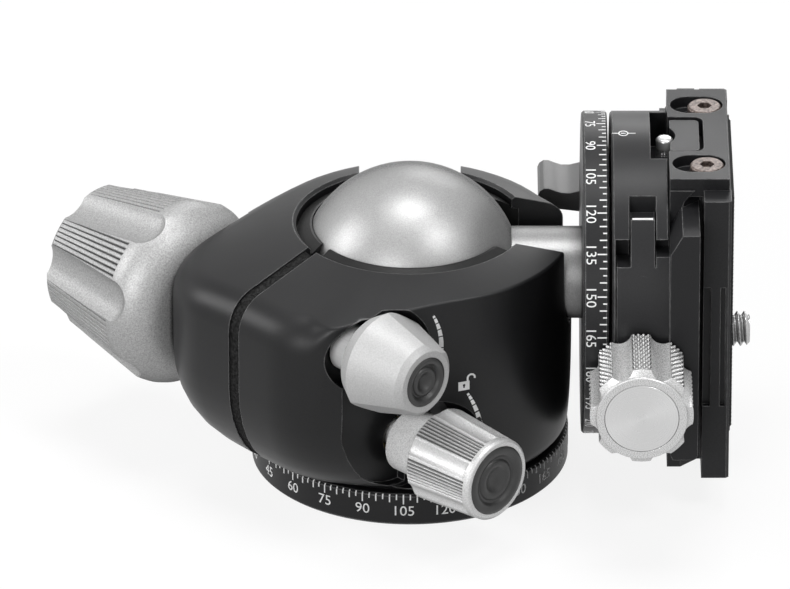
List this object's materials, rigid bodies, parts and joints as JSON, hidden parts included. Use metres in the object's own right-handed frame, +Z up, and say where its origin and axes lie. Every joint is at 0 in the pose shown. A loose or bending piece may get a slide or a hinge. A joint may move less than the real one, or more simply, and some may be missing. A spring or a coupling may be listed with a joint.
{
  "type": "tripod ball head",
  "caption": "Tripod ball head with a panning base, pinch housing with three knobs, ball on a stem, and a panning dovetail clamp holding a camera plate.",
  "frame": {"origin": "centre of the base disc's underside, at the mouth of the tripod hole", "axes": "+Z up along the panning axis, +X along the dropped stem towards the clamp, +Y away from the viewer"},
  "size_m": [0.127, 0.0883, 0.0654],
  "materials": {
    "black_anodised": "satin black anodised",
    "black_scale": "satin black anodised, marked in white",
    "black_anodised_clamp": "satin black anodised",
    "black_anodised_plate": "satin black anodised",
    "grey_aluminium": "turned, grey anodised",
    "grey_lever": "satin grey anodised",
    "silver_blasted": "bead blasted, silver anodised",
    "silver_blasted_ball": "finely blasted, silver anodised",
    "silver_turned": "turned, silver anodised",
    "silver_bright": "bright, diamond knurled",
    "silver_spun": "spun bright face",
    "steel": "satin",
    "bright_steel": "bright",
    "screw_steel": "satin, worn",
    "brass": "turned",
    "rubber_black": "matt",
    "rubber_pad": "fine stippled",
    "foam_black": "rough, open cell",
    "black_polymer": "smooth matt",
    "grey_polymer": "smooth matt",
    "white_polymer": "smooth matt"
  },
  "bodies": {
    "base": {"base_disc": "black_scale", "tripod_bush": "steel", "brake_drum": "grey_aluminium", "base_screws": "steel", "base_washer": "white_polymer"},
    "housing_body": {"housing": "black_anodised", "keeper_ring": "grey_aluminium", "ball_seat": "grey_polymer", "seat_spring": "steel", "ball_cup": "black_polymer", "slit_seal": "foam_black", "pinch_insert": "steel"},
    "large_knob_body": {"large_knob": "silver_blasted", "large_knob_cap": "silver_blasted", "pinch_bolt": "steel"},
    "friction_knob_body": {"friction_knob": "silver_blasted", "friction_knob_insert": "rubber_black", "friction_screw": "silver_turned"},
    "lock_knob_body": {"lock_knob": "silver_turned", "lock_knob_insert": "rubber_black", "lock_screw": "silver_turned"},
    "cotter_body": {"brake_cotter": "brass"},
    "ball_body": {"ball": "silver_blasted_ball", "scale_ring": "black_scale", "stem_bolt": "steel"},
    "clamp": {"clamp_body": "black_anodised_clamp", "stop_screw": "bright_steel"},
    "lever": {"pan_lever": "grey_lever", "lever_screw": "steel"},
    "jaw": {"moving_jaw": "black_anodised_clamp", "guide_pins": "steel", "knob_washer": "silver_turned"},
    "clamp_knob_body": {"clamp_knob": "silver_bright", "clamp_knob_disc": "silver_spun", "clamp_rod": "steel"},
    "plate": {"camera_plate": "black_anodised_plate", "plate_pad": "rubber_pad", "end_block": "black_anodised_plate", "end_block_screws": "screw_steel"},
    "screw_slider": {"screw_collar": "white_polymer"},
    "camera_screw_body": {"camera_screw": "bright_steel"}
  },
  "joints": [
    {"name": "base_pan", "type": "hinge", "parent": "base", "child": "housing_body", "pos_m": [0, 0, 0.0062], "axis": [0, 0, 1], "continuous": true},
    {"name": "large_knob_turn", "type": "hinge", "parent": "housing_body", "child": "large_knob_body", "pos_m": [-0.01803, -0.01803, 0.0297], "axis": [-0.7071, 0.7071, 0], "range_deg": [0, 540]},
    {"name": "friction_knob_turn", "type": "hinge", "parent": "housing_body", "child": "friction_knob_body", "pos_m": [-0.02015, -0.02015, 0.0367], "axis": [0.7071, -0.7071, 0], "range_deg": [0, 330]},
    {"name": "pan_lock_turn", "type": "hinge", "parent": "housing_body", "child": "lock_knob_body", "pos_m": [-0.01308, -0.01308, 0.0162], "axis": [0.7071, -0.7071, 0], "range_deg": [0, 120]},
    {"name": "pan_cotter_slide", "type": "slide", "parent": "housing_body", "child": "cotter_body", "axis": [0.7071, -0.7071, 0], "range_m": [0, 0.0003]},
    {"name": "ball_tilt", "type": "hinge", "parent": "housing_body", "child": "ball_body", "pos_m": [0, 0, 0.0364], "axis": [0, -1, 0], "range_deg": [0, 120]},
    {"name": "clamp_pan", "type": "hinge", "parent": "ball_body", "child": "clamp", "pos_m": [0.0353, 0, 0.0364], "axis": [1, 0, 0], "range_deg": [-30, 210]},
    {"name": "pan_lever_turn", "type": "hinge", "parent": "clamp", "child": "lever", "pos_m": [0.0413, 0.0296, 0.0364], "axis": [0, 1, 0], "range_deg": [-30, 30]},
    {"name": "jaw_slide", "type": "slide", "parent": "clamp", "child": "jaw", "axis": [0, -1, 0], "range_m": [0, 0.0031]},
    {"name": "clamp_knob_turn", "type": "hinge", "parent": "jaw", "child": "clamp_knob_body", "pos_m": [0.041, -0.0303, 0.0305], "axis": [0, -1, 0], "range_deg": [0, 900]},
    {"name": "plate_slide", "type": "slide", "parent": "clamp", "child": "plate", "axis": [0, 0, 1], "range_m": [0, 0.06]},
    {"name": "screw_slide", "type": "slide", "parent": "plate", "child": "screw_slider", "axis": [0, 0, 1], "range_m": [0, 0.018]},
    {"name": "screw_turn", "type": "hinge", "parent": "screw_slider", "child": "camera_screw_body", "pos_m": [0.052, 0, 0.0249], "axis": [1, 0, 0], "continuous": true}
  ],
  "couplings": [
    {"joint": "pan_lock_turn", "follows": "pan_cotter_slide", "rad_per_m": 6900},
    {"joint": "clamp_knob_turn", "follows": "jaw_slide", "rad_per_m": 5020}
  ]
}
